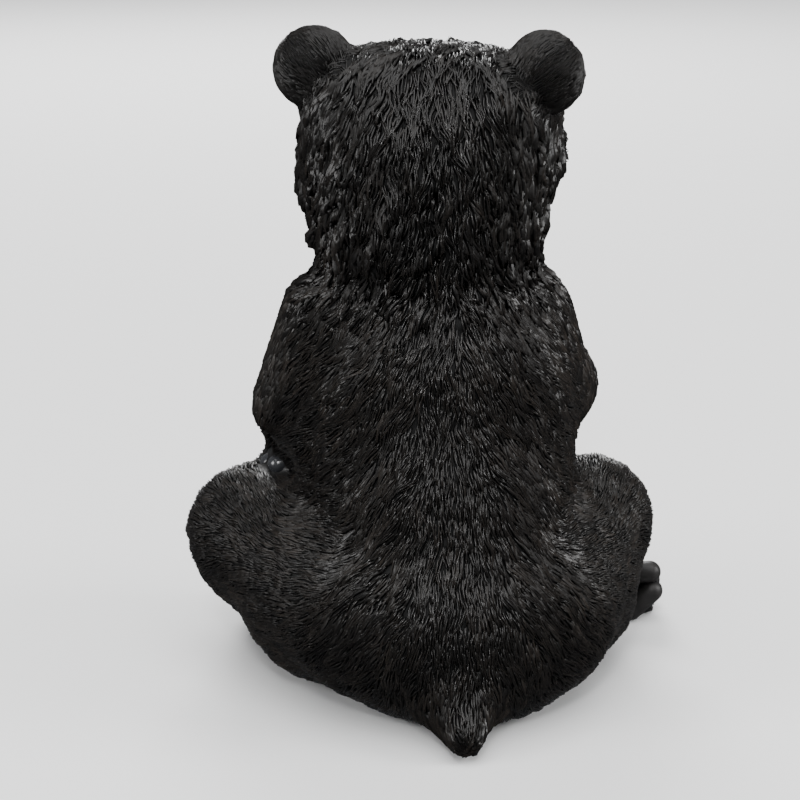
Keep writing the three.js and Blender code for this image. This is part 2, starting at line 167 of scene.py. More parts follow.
# The lie of the coat: the sculptor's strokes part along the spine, fan out over the sides and
# wrap the limbs. At each guide the strokes point the way given, and between guides they blend.
HEAD_MIDDLE_GUIDES = [
    ((0, 60, 30), (0, 0.5, -1)),
    ((0, 62, 0), (0, 0.1, -1)),
    ((0, 20, 50), (0, 1, -0.1)),
    ((0, -10, 52), (0, 1, 0.2)),
    ((0, -45, 35), (0, 0.6, 1)),
    ((0, -70, 0), (0, 1, 0.5)),
    ((0, -90, -18), (0, 0.4, 1)),
    ((0, -75, -40), (0, 0.7, -0.7)),
]
HEAD_SIDE_GUIDES = [
    ((30, 20, 46), (0.35, 1, -0.3)),
    ((56, 30, 16), (0.3, 0.1, -1)),
    ((62, 0, 0), (0.2, 0.2, -1)),
    ((60, 0, -25), (0.25, 0.1, -1)),
    ((30, -45, 12), (0.8, 0.5, 0.4)),
    ((44, -45, -10), (0.9, 0.6, -0.2)),
    ((35, -50, -32), (0.6, 0.4, -0.8)),
    ((22, -75, -16), (0.5, 0.9, 0)),
    ((35, 52, 10), (0.25, 0.2, -1)),
    ((66, -30, -8), (0.3, 0.9, 0)),
]
BODY_MIDDLE_GUIDES = [
    ((8, 78, 160), (0.02, 0.1, -1)),
    ((4, 84, 120), (-0.02, 0.1, -1)),
    ((0, 105, 80), (0, 0.2, -1)),
    ((0, 116, 45), (0, 0.5, -1)),
    ((0, 138, 12), (0, 1, -0.5)),
    ((0, -50, 205), (0, 0, -1)),
    ((0, -65, 130), (0, 0, -1)),
    ((0, -65, 80), (0, 0.1, -1)),
    ((85, 0, 165), (0, -0.3, -1)),
    ((82, -20, 130), (0.2, -1, -0.8)),
    ((-85, -10, 165), (0, -0.3, -1)),
    ((-75, -35, 140), (0.5, -1, -0.1)),
    ((-55, -70, 146), (1, -0.4, 0)),
    ((-88, -62, 30), (-1, -0.1, -0.2)),
]
BODY_SIDE_GUIDES = [
    ((26, 72, 200), (0.35, 0, -1)),
    ((30, 76, 160), (0.5, 0, -1)),
    ((34, 80, 120), (0.55, 0, -0.9)),
    ((58, 45, 175), (0.8, -0.4, -0.9)),
    ((62, 42, 140), (0.9, -0.5, -0.7)),
    ((66, 30, 112), (1, -0.6, -0.4)),
    ((62, 5, 222), (1, -0.2, -0.5)),
    ((76, 0, 195), (0.4, -0.5, -0.9)),
    ((45, 35, 238), (0.25, 0.1, -1)),
    ((55, 0, 238), (0.2, -0.1, -1)),
    ((45, 98, 70), (0.65, 0, -0.8)),
    ((25, 112, 40), (0.4, 0.3, -1)),
    ((60, 85, 35), (0.8, -0.3, -0.7)),
    ((75, 60, 95), (0.9, -0.7, 0.2)),
    ((92, 20, 100), (0.3, -1, 0.2)),
    ((90, 45, 50), (0.6, -1, -0.25)),
    ((110, 5, 70), (0.2, -1, -0.2)),
    ((100, -30, 95), (0, -1, -0.2)),
    ((85, -55, 60), (0, -0.6, -0.9)),
    ((75, -10, 15), (0.1, -1, -0.2)),
    ((40, -55, 190), (0.15, 0, -1)),
    ((45, -60, 100), (0.15, 0, -1)),
    ((50, -45, 45), (0, -0.1, -1)),
]


def both_sides(guides):
    return guides + [((-x, y, z), (-a, b, c)) for (x, y, z), (a, b, c) in guides]


body_guides = BODY_MIDDLE_GUIDES + both_sides(BODY_SIDE_GUIDES)
head_guides = HEAD_MIDDLE_GUIDES + both_sides(HEAD_SIDE_GUIDES)
guide_places = np.array([spot(*p) for p, w in body_guides] + [head_spot(*p) for p, w in head_guides])
guide_ways = np.array([Vector(w).normalized() for p, w in body_guides]
                      + [head_way(*w).normalized() for p, w in head_guides])


def unit_rows(rows):
    return rows / np.maximum(np.linalg.norm(rows, axis=1, keepdims=True), 1e-12)


GUIDE_CORE = 1e-6  # square metres: how soon a guide's pull levels off close to it


def lie_at(places):
    """The way the coat lies at each place, before it is laid into the skin."""
    squares = np.square(places[:, None] - guide_places[None]).sum(2)
    ways = (1 / np.square(squares + GUIDE_CORE)) @ guide_ways
    for ear, side in zip(EARS, (1, -1)):
        root = np.array(ear) - 0.8 * EAR_RADIUS * np.array(head_way(side, 0, 1).normalized())
        near = np.linalg.norm(places - np.array(ear), axis=1) < 1.2 * EAR_RADIUS
        ways[near] = unit_rows(places - root)[near]
    return unit_rows(ways)


def along_skin(ways, normals):
    return unit_rows(ways - normals * (ways * normals).sum(1, keepdims=True))


# The locks: the sculptor built the coat up in tapering, overlapping locks, bold on the head and
# its ruff and hardly raised on the body. Here each swells the casting's own skin, and the
# strokes of its strands lie on it further down.
rng = np.random.default_rng(7)
MOUTH_LINES = [
    [(18.9, -58, -29.9), (12.9, -78.9, -32.3), (0, -86.2, -26.7), (-12.9, -78.9, -32.3),
     (-18.9, -58, -29.9)],
    [(0, -89, -16), (0, -86.2, -26.7)],
]
MOUTH_STEPS = 12  # to each stretch of a line
MOUTH = [head_spot(*Vector(a).lerp(Vector(b), t / MOUTH_STEPS))
         for line in MOUTH_LINES for a, b in zip(line, line[1:]) for t in range(MOUTH_STEPS + 1)]
KNUCKLES = [spot(80, -15, 112), spot(80, -26, 109)]
RIGHT_TOE_ENDS = [(-124, -45, 31), (-124, -50, 19), (-124, -62, 13), (-118, -76, 11), (-108, -88, 13)]
LEFT_TOE_ENDS = [(58, -92, 53), (71, -92, 56), (84, -91, 56), (96, -88, 51)]
TOE_ENDS = [spot(*p) for p in RIGHT_TOE_ENDS + LEFT_TOE_ENDS]
BARE_PLACES = [  # bare up to the first distance in metres, covered from the second
    ([NOSE], 0.011, 0.016),
    (EYES, 0.0062, 0.0080),
    (MOUTH, 0.0018, 0.0030),
    (PALMS, 0.012, 0.020),
    (KNUCKLES, 0.009, 0.012),
    (TOE_ENDS, 0.011, 0.014),
    (SOLES, 0.026, 0.032),
]
BARE_BASE = (0.0015, 0.005)  # the same, for the height above the ground


def ruff_share(points):
    """1 on the head and its ruff, 0 on the body."""
    return rise(points[:, 2], spot(0, 0, 206).z, spot(0, 0, 222).z)


def bare_share(points):
    """1 where the resin is smooth: nose, eyes, mouth, palms, toes, soles and underside."""
    shares = [1 - rise(distance_to(points, spots), near, far) for spots, near, far in BARE_PLACES]
    return np.maximum.reduce(shares + [1 - rise(points[:, 2], *BARE_BASE)])


def face_share(points):
    return 1 - rise(distance_to(points, [MUZZLE] + EYES), 0.022, 0.038)


def ear_share(points):
    return 1 - rise(distance_to(points, EARS), 1.1 * EAR_RADIUS, 1.25 * EAR_RADIUS)


def limb_share(points):
    """1 on the thighs, shins and forearms, whose coat is short and fine; bounds in shares."""
    shares = points / unit + np.array(MIDDLE)
    x, y, z = np.abs(shares[:, 0]), shares[:, 1], shares[:, 2]
    leg = rise(x, 50, 72) * (1 - rise(z, 100, 116))
    arm = rise(x, 56, 70) * (1 - rise(y, 10, 34)) * (1 - rise(z, 195, 215))
    folded_arm = 1 - rise(distance_to(points, [spot(-45, -52, 146)]), 0.028, 0.036)
    return np.maximum.reduce([leg, arm, folded_arm])


def hidden_share(points):
    """1 on the belly and chest, where the coat is plainer; bounds in shares."""
    shares = points / unit + np.array(MIDDLE)
    return (1 - rise(shares[:, 1], -30, 0)) * (1 - rise(shares[:, 2], 205, 225))


REGIONS = [limb_share, hidden_share, ruff_share, face_share, ear_share]


def sized(points, body, *others):
    """A size in metres at each point, from the body's and each region's in millimetres."""
    size = np.full(len(points), float(body))
    for share, other in zip(REGIONS, others):
        size += (other - size) * share(points)
    return size * MILLI


def scattered(mesh, per_square_metre):
    """Random places all over a mesh's skin, and the way the skin faces at each."""
    mesh.calc_loop_triangles()
    corners = np.empty(len(mesh.loop_triangles) * 3, int)
    mesh.loop_triangles.foreach_get("vertices", corners)
    corners = corners.reshape(-1, 3)
    at, up = points_of(mesh)[corners], normals_of(mesh)[corners]
    areas = np.linalg.norm(np.cross(at[:, 1] - at[:, 0], at[:, 2] - at[:, 0]), axis=1) / 2
    chosen = rng.choice(len(areas), int(areas.sum() * per_square_metre), p=areas / areas.sum())
    shares = rng.dirichlet((1, 1, 1), len(chosen))[:, :, None]
    return (at[chosen] * shares).sum(1), unit_rows((up[chosen] * shares).sum(1))


def spread_out(places, ways, ups, along, across):
    """A choice of the places: none is left in the oval, drawn along the coat, round another."""
    tree = KDTree(len(places))
    for i, place in enumerate(places):
        tree.insert(place, i)
    tree.balance()
    sides = np.cross(ups, ways)
    free = np.ones(len(places), bool)
    chosen = []
    for i in rng.permutation(len(places)):
        if free[i]:
            chosen.append(i)
            near = np.array([hit[1] for hit in tree.find_range(places[i], max(along[i], across[i]))])
            away = places[near] - places[i]
            oval = np.square(away @ ways[i] / along[i]) + np.square(away @ sides[i] / across[i])
            free[near[oval < 1]] = False
    return np.array(chosen)


def wander(places, cell, seed):
    """Smooth noise about 0, one number for each place."""
    shift = Vector((seed * 7.3, seed * 3.1, seed * 5.7))
    return np.array([noise.noise(Vector(p) / cell + shift) for p in places.tolist()])


def turned(ways, ups, angles):
    return ways * np.cos(angles)[:, None] + np.cross(ups, ways) * np.sin(angles)[:, None]


SEEDS_PER_SQUARE_METRE = 450000
places, ups = scattered(bear.data, SEEDS_PER_SQUARE_METRE)
ways = along_skin(lie_at(places), ups)

# Lengths in mm for the body, the limbs, the hidden front, the ruff, the face and the ears: the
# length and half width of a lock, the room it keeps along and across the coat, how far it
# swells the skin and how far its tip is lifted.
LOCK_SIZES = dict(
    length=(14.5, 12, 12, 18, 6, 9),
    half=(3.4, 2.6, 4.0, 4.4, 1.7, 2.2),
    along=(3.3, 2.9, 4.6, 4.1, 2.2, 2.0),
    across=(4.9, 4.0, 6.2, 6.0, 2.7, 2.6),
    swell=(0.7, 0.4, 0.8, 2.4, 0.1, 0.0),
    lift=(0.5, 0.1, 0.6, 1.5, 0.15, 0.1),
)
along = sized(places, *LOCK_SIZES["along"])
across = sized(places, *LOCK_SIZES["across"])
kept = spread_out(places, ways, ups, along, across)
kept = kept[bare_share(places[kept]) < 0.5]
places, ups, ways = places[kept], ups[kept], ways[kept]
count = len(places)
lock_length = sized(places, *LOCK_SIZES["length"]) * rng.uniform(0.8, 1.25, count)
lock_half = sized(places, *LOCK_SIZES["half"])
heights = places[:, 2] / unit + MIDDLE[2]
crown = rise(heights, 280, 315)
nape = rise(heights, 206, 222) * (1 - rise(heights, 250, 280))
lock_swell = sized(places, *LOCK_SIZES["swell"]) * rng.uniform(0.3, 1.15, count)
lock_swell *= 1 - 0.7 * crown + 0.3 * nape

points = points_of(bear.data)
normals = normals_of(bear.data)
swell = np.zeros(len(points))
tree = KDTree(len(points))
for i, point in enumerate(points):
    tree.insert(point, i)
tree.balance()
LEAST_SWELL = 0.3 * MILLI  # a lock that swells the skin less than this is left to its strands
for i in np.nonzero(lock_swell > LEAST_SWELL)[0]:
    near = np.array([hit[1] for hit in tree.find_range(places[i], 1.1 * lock_length[i])], int)
    away = points[near] - places[i]
    t = away @ ways[i] / lock_length[i]
    s = np.abs(away @ np.cross(ups[i], ways[i])) / (1.5 * lock_half[i] * (1.15 - 0.6 * t))
    out = rise(t, 0, 0.7) * (1 - rise(t, 0.8, 1.0)) * np.clip(1 - s * s, 0, 1)
    swell[near] = np.maximum(swell[near], out * lock_swell[i])
RUFF_SET_BACK = 1.6 * MILLI  # makes room under the ruff's thick strands
swell = (swell - RUFF_SET_BACK * ruff_share(points)) * (1 - bare_share(points))

# The skin is then trimmed: sunk under the nose, eyes and mouth, and moved a little where the
# outline needs it. Each row says where, by how many mm, and between which distances it fades.
SHOULDERS = [spot(66, -4, 222), spot(-60, -4, 222)]
WAIST = [spot(85, 6, 124), spot(-68, 6, 128)]
LEFT_SHIN = spot(109, -10, 40)
TRIMS = [
    (EARS, 1.5, 1.0 * EAR_RADIUS, 1.3 * EAR_RADIUS),
    ([NOSE], -3.0, 0.009, 0.012),
    (EYES, -1.0, 0.005, 0.008),
    (MOUTH, -2.0, 0.0004, 0.0024),
    (SHOULDERS, -4.0, 0.006, 0.026),
    (WAIST, -3.5, 0.006, 0.022),
    ([LEFT_SHIN], 3.0, 0.006, 0.026),
]
for spots, move, near, far in TRIMS:
    swell += move * MILLI * (1 - rise(distance_to(points, spots), near, far))
BASE_TUCK = 1.5 * MILLI  # the skin's way in behind, close to the ground
LEFT_BASE_TUCK = 2.3 * MILLI  # and more of it on the bear's left, up to a greater height
behind = rise(points[:, 1], 0.01, 0.04)
on_left = rise(points[:, 0], 0.0, 0.03)
swell -= BASE_TUCK * (1 - rise(points[:, 2], 0.004, 0.022)) * behind
swell -= LEFT_BASE_TUCK * (1 - rise(points[:, 2], 0.016, 0.046)) * behind * on_left
points += normals * swell[:, None]
points[:, 2] = np.maximum(points[:, 2], 0)
bear.data.vertices.foreach_set("co", points.ravel())
bear.data.update()
bpy.ops.object.select_all(action="DESELECT")
bear.select_set(True)
bpy.ops.object.shade_smooth()


def colour(code):
    """A hex sRGB colour as linear red, green, blue and alpha."""
    parts = [int(code[i:i + 2], 16) / 255 for i in (1, 3, 5)]
    return [p / 12.92 if p <= 0.04045 else ((p + 0.055) / 1.055) ** 2.4 for p in parts] + [1]


def node_in(material, kind, settings=None, links=None):
    """Adds a node, sets what is given, and links its inputs, by name or number, to outputs."""
    tree = material.node_tree
    made = tree.nodes.new(kind)
    for key, value in (settings or {}).items():
        if isinstance(key, str) and hasattr(made, key):
            setattr(made, key, value)
        else:
            made.inputs[key].default_value = value
    for key, output in (links or {}).items():
        tree.links.new(output, made.inputs[key])
    return made


def resin(name, **values):
    """A new material with its shader's own values set, and the shader."""
    material = bpy.data.materials.new(name)
    material.use_nodes = True
    shader = material.node_tree.nodes["Principled BSDF"]
    for key, value in values.items():
        shader.inputs[key.replace("_", " ")].default_value = value
    return material, shader


# Carved black resin, moulded: the pigment is in the resin, and a brown-grey paint is dragged over it with a
# nearly dry brush.
# Crests are paler and catch the light; the dragged paint on them is real, but the near-black of the furrows
# and of the strands' sunk edges is painted shade.
FURROW_PAINTED_SHADE = colour("#030303")
STRAND_COLOUR = colour("#110f0e")
BRUSHED_COLOUR = colour("#3b342e")
FURROW_ROUGHNESS = 0.75
CREST_ROUGHNESS = 0.22
PATCHES_PER_METRE = 38.0  # the brush caught the coat in patches about 26 mm wide
GRAIN_PER_METRE = 700.0  # the cast skin has a grain of about 1.4 mm
carved_resin, shader = resin("carved black resin", IOR=1.5, Specular_IOR_Level=0.4)
links = carved_resin.node_tree.links
place = node_in(carved_resin, "ShaderNodeTexCoord").outputs["Object"]
crest = node_in(carved_resin, "ShaderNodeAttribute", {"attribute_name": "crest"}).outputs["Fac"]
tone = node_in(carved_resin, "ShaderNodeAttribute", {"attribute_name": "tone"}).outputs["Fac"]
shine = node_in(carved_resin, "ShaderNodeAttribute", {"attribute_name": "shine"}).outputs["Fac"]
patches = node_in(carved_resin, "ShaderNodeTexNoise", {"Scale": PATCHES_PER_METRE, "Detail": 3.0},
                  {"Vector": place})
dragged = node_in(carved_resin, "ShaderNodeMapRange", {"From Min": 0.5}, {"Value": crest})
painted = node_in(carved_resin, "ShaderNodeMath", {"operation": "MULTIPLY"},
                  {0: dragged.outputs[0], 1: tone})
worn = node_in(carved_resin, "ShaderNodeMath", {"operation": "MULTIPLY"},
               {0: painted.outputs[0], 1: patches.outputs["Fac"]})
# Painted shade: near black where crest is 0 (furrows, strand roots and sunk edges), the resin's own colour at
# the crests.
body = node_in(carved_resin, "ShaderNodeMix",
               {"data_type": "RGBA", 6: FURROW_PAINTED_SHADE, 7: STRAND_COLOUR}, {0: crest})
coloured = node_in(carved_resin, "ShaderNodeMix", {"data_type": "RGBA", 7: BRUSHED_COLOUR},
                   {0: worn.outputs[0], 6: body.outputs[2]})
shiny = node_in(carved_resin, "ShaderNodeMath", {"operation": "MULTIPLY"}, {0: crest, 1: shine})
gloss = node_in(carved_resin, "ShaderNodeMapRange", {"To Min": FURROW_ROUGHNESS, "To Max": CREST_ROUGHNESS},
                {"Value": shiny.outputs[0]})
grain = node_in(carved_resin, "ShaderNodeTexNoise", {"Scale": GRAIN_PER_METRE, "Detail": 2.0},
                {"Vector": place})
bump = node_in(carved_resin, "ShaderNodeBump", {"Strength": 0.3, "Distance": 0.0003},
               {"Height": grain.outputs["Fac"]})
links.new(coloured.outputs[2], shader.inputs["Base Color"])
links.new(gloss.outputs[0], shader.inputs["Roughness"])
links.new(bump.outputs[0], shader.inputs["Normal"])


def finish_piece(piece, material):
    """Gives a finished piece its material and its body."""
    piece.data.materials.clear()
    piece.data.materials.append(material)
    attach(piece, "root")


def set_values(mesh, name, values):
    """Gives each of a mesh's points a number that the carved resin reads."""
    mesh.attributes.new(name, "FLOAT", "POINT").data.foreach_set("value", values)


SKIN_CREST = 0.8  # the bare skin's paleness, as a share of a crest's
SKIN_SHINE = 0.8
# Painted shade: away from its bare places the casting's skin gets crest 0, the near-black furrow colour
# between the strands.
set_values(bear.data, "crest", SKIN_CREST * bare_share(points))
set_values(bear.data, "shine", np.full(len(points), SKIN_SHINE))
finish_piece(bear, carved_resin)
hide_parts("bear")

# The strands: each is a stroke of a small tool in the wax model, before the mould was made: a
# ridge that rises from the skin, bends with its lock and ends in a blunt, lifted point. The
# strands of a lock start side by side and draw together at its tip.
skin_tree = BVHTree.FromPolygons(
    [tuple(p) for p in points_of(bear.data)], [tuple(f.vertices) for f in bear.data.polygons])


def onto_skin(places):
    """The nearest places on the casting, and which way its skin faces there."""
    hits = [skin_tree.find_nearest(p) for p in places.tolist()]
    return np.array([h[0] for h in hits]), np.array([h[1] for h in hits])


SINK = 1.1 * MILLI  # how far a strand's edges lie under the skin
FURROW = 0.8 * MILLI  # how far the tool cut into the skin between the strands
FLOOR = 0.2 * MILLI  # no strand reaches lower than this above the ground
OWN_WAY = 0.5  # how much of its lock's direction a strand keeps where the lie turns
WAVE_CELL = 9 * MILLI
FIRST_RING = 0.2  # where the first and last rings are, as shares of a strand's length
LAST_RING = 0.87


def strand_faces(rings):
    """The triangles of one strand: a root, rings of left edge, crest and right edge, and a tip."""
    faces = [(0, 2, 1), (0, 3, 2), (0, 1, 3)]
    for k in range(rings - 1):
        for i in range(3):
            a, b = 1 + 3 * k + i, 1 + 3 * k + (i + 1) % 3
            faces += [(a, b, b + 3), (a, b + 3, a + 3)]
    last = 3 * rings - 2
    return faces + [(last + i, last + (i + 1) % 3, 3 * rings + 1) for i in range(3)]


def coat_piece(name, locks, strands, rings):
    """One piece: the strands of some of the locks."""
    lock = np.repeat(locks, strands)
    count = len(lock)
    u = np.tile(np.linspace(-1, 1, strands), len(locks)) + rng.uniform(-0.16, 0.16, count)
    length = lock_length[lock] * (1 - 0.22 * u * u) * rng.uniform(0.8, 1.1, count)
    width = strand_width[lock] * rng.uniform(0.8, 1.25, count)
    height = strand_height[lock] * rng.uniform(0.65, 1.2, count)
    lift = lock_lift[lock] * (1 - 0.6 * u * u)
    lean = lock_lean[lock] + rng.normal(0, 0.05, count)

    side = np.cross(ups[lock], ways[lock])
    start = rng.uniform(-0.45, -0.25, count) * lock_length[lock]
    start = places[lock] + side * (u * lock_half[lock])[:, None] + ways[lock] * start[:, None]
    at, up = onto_skin(start)
    t_at = np.append(np.linspace(FIRST_RING, LAST_RING, rings), 1.0)
    columns = [(at - up * SINK)[:, None]]
    for t, step in zip(t_at, np.diff(t_at, prepend=0)):
        gather = -u * lock_gather[lock] * t
        flow = lock_wave[lock] * wander(at, WAVE_CELL, 1)
        way = along_skin(OWN_WAY * ways[lock] + (1 - OWN_WAY) * lie_at(at), up)
        way = turned(way, up, lean + gather + flow)
        at, up = onto_skin(at + way * (length * step)[:, None])
        raised = lift * rise(np.array([t]), 0, 0.9)
        if t < 1:
            half = np.cross(up, way) * (width * (0.5 - 0.18 * abs(2 * t - 0.9) ** 2))[:, None]
            edge = up * (0.4 * raised - SINK)[:, None]
            crest = up * (raised + height * min(1, 0.45 + 1.4 * t))[:, None]
            columns.append(np.stack([at + half + edge, at + crest, at - half + edge], 1))
        else:
            columns.append((at + up * (0.8 * raised + 0.35 * height)[:, None])[:, None])

    verts = np.concatenate(columns, 1)
    size = verts.shape[1]
    verts[:, :, 2] = np.maximum(verts[:, :, 2], FLOOR)
    faces = np.array(strand_faces(rings))[None] + size * np.arange(count)[:, None, None]
    mesh = bpy.data.meshes.new(name)
    mesh.from_pydata(verts.reshape(-1, 3), [], faces.reshape(-1, 3))
    # Painted shade: a strand's root and sunk edges get crest 0, the near-black furrow colour; its crest gets
    # 1 and its tip 0.8.
    set_values(mesh, "crest", np.tile(np.array([0.0] + [0.0, 1.0, 0.0] * rings + [0.8]), count))
    set_values(mesh, "tone", np.repeat(lock_tone[lock] * rng.uniform(0.3, 1.0, count), size))
    set_values(mesh, "shine", np.repeat(lock_shine[lock], size))
    mesh.shade_smooth()
    piece = bpy.data.objects.new(name, mesh)
    bpy.context.collection.objects.link(piece)
    finish_piece(piece, carved_resin)
    print(name, count, "strands", len(faces) * len(faces[0]), "triangles")


# For the same regions as the locks: a strand's width and height in mm, and in thousandths of a
# radian how far it turns in to its lock's middle and how far it waves.
strand_width = sized(places, 1.3, 1.05, 2.2, 1.35, 0.95, 0.8)
strand_height = sized(places, 1.35, 1.3, 1.3, 1.55, 0.4, 0.75)
lock_gather = sized(places, 250, 200, 250, 420, 100, 80)
lock_wave = sized(places, 500, 350, 600, 600, 300, 120)

STRAY_LOCKS = 0.1  # the share of the ruff's locks that stand out from it
STRAY_LIFT = 1.4 * MILLI
LEAN = 0.11  # radians: how much locks side by side differ in their direction
lock_lift = sized(places, *LOCK_SIZES["lift"]) * rng.uniform(0.3, 1.2, count) * (1 - 0.3 * crown + 0.4 * nape)
lock_lift += STRAY_LIFT * ruff_share(places) * (rng.random(count) < STRAY_LOCKS) * (1 - ear_share(places))
lock_shine = rng.uniform(0.75, 1.12, count) - 0.25 * limb_share(places) - 0.25 * ear_share(places)
lock_lean = rng.normal(0, LEAN, count) * (1 - ear_share(places)) * (1 - 0.5 * limb_share(places))
lock_tone = rng.uniform(0.1, 1, count) ** 1.5 * (1 + 0.5 * limb_share(places) - 0.4 * ruff_share(places))

points = points_of(bear.data)
depth = FURROW * (1 - bare_share(points)) * (1 - 0.3 * ear_share(points)) * (1 - 0.5 * face_share(points))
points -= normals_of(bear.data) * depth[:, None]
bear.data.vertices.foreach_set("co", points.ravel())
bear.data.update()

shares = places / unit + np.array(MIDDLE)
taken = np.zeros(count, bool)
PIECES = [  # each piece's name, which locks it has, its strands to a lock and its rings to a strand
    ("coat_ears", ear_share(places) > 0.5, 5, 3),
    ("coat_crown", shares[:, 2] > 280, 6, 4),
    ("coat_ruff", shares[:, 2] > 212, 6, 4),
    ("coat_left_leg", (shares[:, 2] < 108) & (shares[:, 0] > 50), 6, 3),
    ("coat_right_leg", (shares[:, 2] < 108) & (shares[:, 0] < -50), 6, 3),
    ("coat_back", shares[:, 1] > 8, 6, 3),
    ("coat_front", shares[:, 2] > 0, 4, 3),
]
for name, region, strands, rings in PIECES:
    coat_piece(name, np.nonzero(region & ~taken)[0], strands, rings)
    taken |= region

# The toes: five smooth knuckles to a paw, cast with it, and a small curved claw from each.
# They are bare resin, buffed, so they are the only places that shine evenly.
DULL_COLOUR = colour("#161515")
SMOOTH_COLOUR = colour("#2c2a29")
SMOOTH_ROUGHNESS = 0.36
DULL_ROUGHNESS = 0.58
CLOUDS_PER_METRE = 160.0  # the buffing left clouds about 6 mm wide
smooth_resin, smooth_shader = resin("buffed black resin", IOR=1.5, Specular_IOR_Level=0.35)
place = node_in(smooth_resin, "ShaderNodeTexCoord").outputs["Object"]
cloud = node_in(smooth_resin, "ShaderNodeTexNoise", {"Scale": CLOUDS_PER_METRE, "Detail": 4.0},
                {"Vector": place})
shade = node_in(smooth_resin, "ShaderNodeMix",
                {"data_type": "RGBA", 6: DULL_COLOUR, 7: SMOOTH_COLOUR}, {0: cloud.outputs["Fac"]})
dull = node_in(smooth_resin, "ShaderNodeMapRange", {"To Min": SMOOTH_ROUGHNESS, "To Max": DULL_ROUGHNESS},
               {"Value": cloud.outputs["Fac"]})
pits = node_in(smooth_resin, "ShaderNodeBump", {"Strength": 0.15, "Distance": 0.0004},
               {"Height": cloud.outputs["Fac"]})
smooth_resin.node_tree.links.new(shade.outputs[2], smooth_shader.inputs["Base Color"])
smooth_resin.node_tree.links.new(dull.outputs[0], smooth_shader.inputs["Roughness"])
smooth_resin.node_tree.links.new(pits.outputs[0], smooth_shader.inputs["Normal"])

# The same resin, rubbed smoother on the fore paws: their toes mirror the lamps.
POLISHED_COLOUR = colour("#2e2f32")
polished_resin, _ = resin("polished black resin", Base_Color=POLISHED_COLOUR, Roughness=0.24, IOR=1.5,
                          Specular_IOR_Level=0.8)

TOES = 5
TOE_WAIST = 0.24  # how much narrower a toe is behind its round end, as a share of its width
OUTER_TOE = 0.86  # an outer toe's radius, as a share of the middle one's
PAWS = {
    "left_hind": dict(first=(58, -90, 47), last=(96, -86, 45), bow=(0, 0, 3), out=(0.1, -0.25, 1),
                      fan=(0.3, 0, 0), length=9, radius=6.8, claw_out=(0, -0.5, 0.85), claw=10),
    "right_hind": dict(first=(-119, -45.5, 31), last=(-104, -92, 11), bow=(-9, -6, -8), out=(-1, -0.1, 0),
                       fan=(0.3, -0.3, -0.1), length=9, radius=7.2, claw_out=(-0.4, -0.8, -0.4), claw=10.5),
    "left_fore": dict(first=(74.5, -16, 114), last=(76, -62, 97), bow=(3, 0, 1), out=(1, -0.1, -0.35),
                      fan=(0, -0.3, 0), length=7, radius=6.6, claw_out=(0.6, -0.3, -1), claw=9),
    "right_fore": dict(first=(-18, -69, 158), last=(-17, -71, 134), bow=(3, 0, 0), out=(1, -0.15, -0.1),
                       fan=(0, 0, -0.3), length=7, radius=5.4, claw_out=(1, 0.1, -0.5), claw=9),
}


def placed(piece, at, way):
    """Turns a piece's +Z onto a direction, puts it at a place, and applies both."""
    piece.rotation_euler = Vector(way).to_track_quat("Z", "Y").to_matrix().to_euler()
    piece.location = at
    bpy.ops.object.transform_apply(location=True, rotation=True, scale=True)
    return piece


def toe(start, way, length, radius, waist=TOE_WAIST):
    """A knuckle: a ball drawn out along the toe, narrower behind its round end."""
    bpy.ops.mesh.primitive_uv_sphere_add(segments=24, ring_count=16, radius=radius)
    piece = bpy.context.object
    for v in piece.data.vertices:
        if v.co.z > -1e-6:
            v.co.z += length
        narrow = 1 - waist * math.sin(math.pi * min(1, max(0, v.co.z / length)))
        v.co.x *= narrow
        v.co.y *= narrow
    return placed(piece, start, way)


CLAW_WIDTH = 0.52  # a claw's radius at its root, as a share of its toe's
CLAW_POINT = 0.2  # and at its point, as a share of its root's
CLAW_BEND = 0.22


def claw(start, way, length, radius):
    """A claw: a cone drawn out in steps and bent down towards its blunt point."""
    bpy.ops.mesh.primitive_cone_add(vertices=12, radius1=radius, radius2=CLAW_POINT * radius, depth=length)
    piece = bpy.context.object
    bpy.ops.object.mode_set(mode="EDIT")
    bpy.ops.mesh.subdivide(number_cuts=3)
    bpy.ops.object.mode_set(mode="OBJECT")
    for v in piece.data.vertices:
        t = v.co.z / length + 0.5
        v.co.x += CLAW_BEND * length * t * t
        v.co.z += length / 2
    return placed(piece, start, way)


def joined(name, pieces):
    """Makes one smooth piece of several, with nothing lower than FLOOR."""
    bpy.ops.object.select_all(action="DESELECT")
    for piece in pieces:
        piece.select_set(True)
    bpy.context.view_layer.objects.active = pieces[0]
    bpy.ops.object.join()
    pieces[0].name = name
    bpy.ops.object.shade_smooth()
    for v in pieces[0].data.vertices:
        v.co.z = max(v.co.z, FLOOR)
    return pieces[0]


# The right hind foot's second toe, seen past the haunch, runs straight back into the foot's edge.
FOOT_EDGE = dict(start=(-118.0, -45, 9.5), way=(-1, 0, 0.94), length=15.5, radius=6.4, waist=0.08)

for paw, p in PAWS.items():
    pieces = []
    for i in range(TOES):
        t = i / (TOES - 1)
        middle = 1 - (2 * t - 1) ** 2
        way = (Vector(p["out"]) + Vector(p["fan"]) * (2 * t - 1)).normalized()
        start = spot(*(Vector(p["first"]).lerp(Vector(p["last"]), t) + Vector(p["bow"]) * middle))
        radius = p["radius"] * unit * (OUTER_TOE + (1 - OUTER_TOE) * middle)
        pieces.append(toe(start, way, p["length"] * unit, radius))
        claw_root = start + way * (p["length"] * unit + 0.35 * radius)
        claw_way = Vector(p["claw_out"]).normalized()
        pieces.append(claw(claw_root, claw_way, p["claw"] * unit, CLAW_WIDTH * radius))
    if paw == "right_hind":
        pieces.append(toe(spot(*FOOT_EDGE["start"]), Vector(FOOT_EDGE["way"]), FOOT_EDGE["length"] * unit,
                          FOOT_EDGE["radius"] * unit, FOOT_EDGE["waist"]))
    finish_piece(joined(paw + "_toes", pieces), polished_resin if "fore" in paw else smooth_resin)

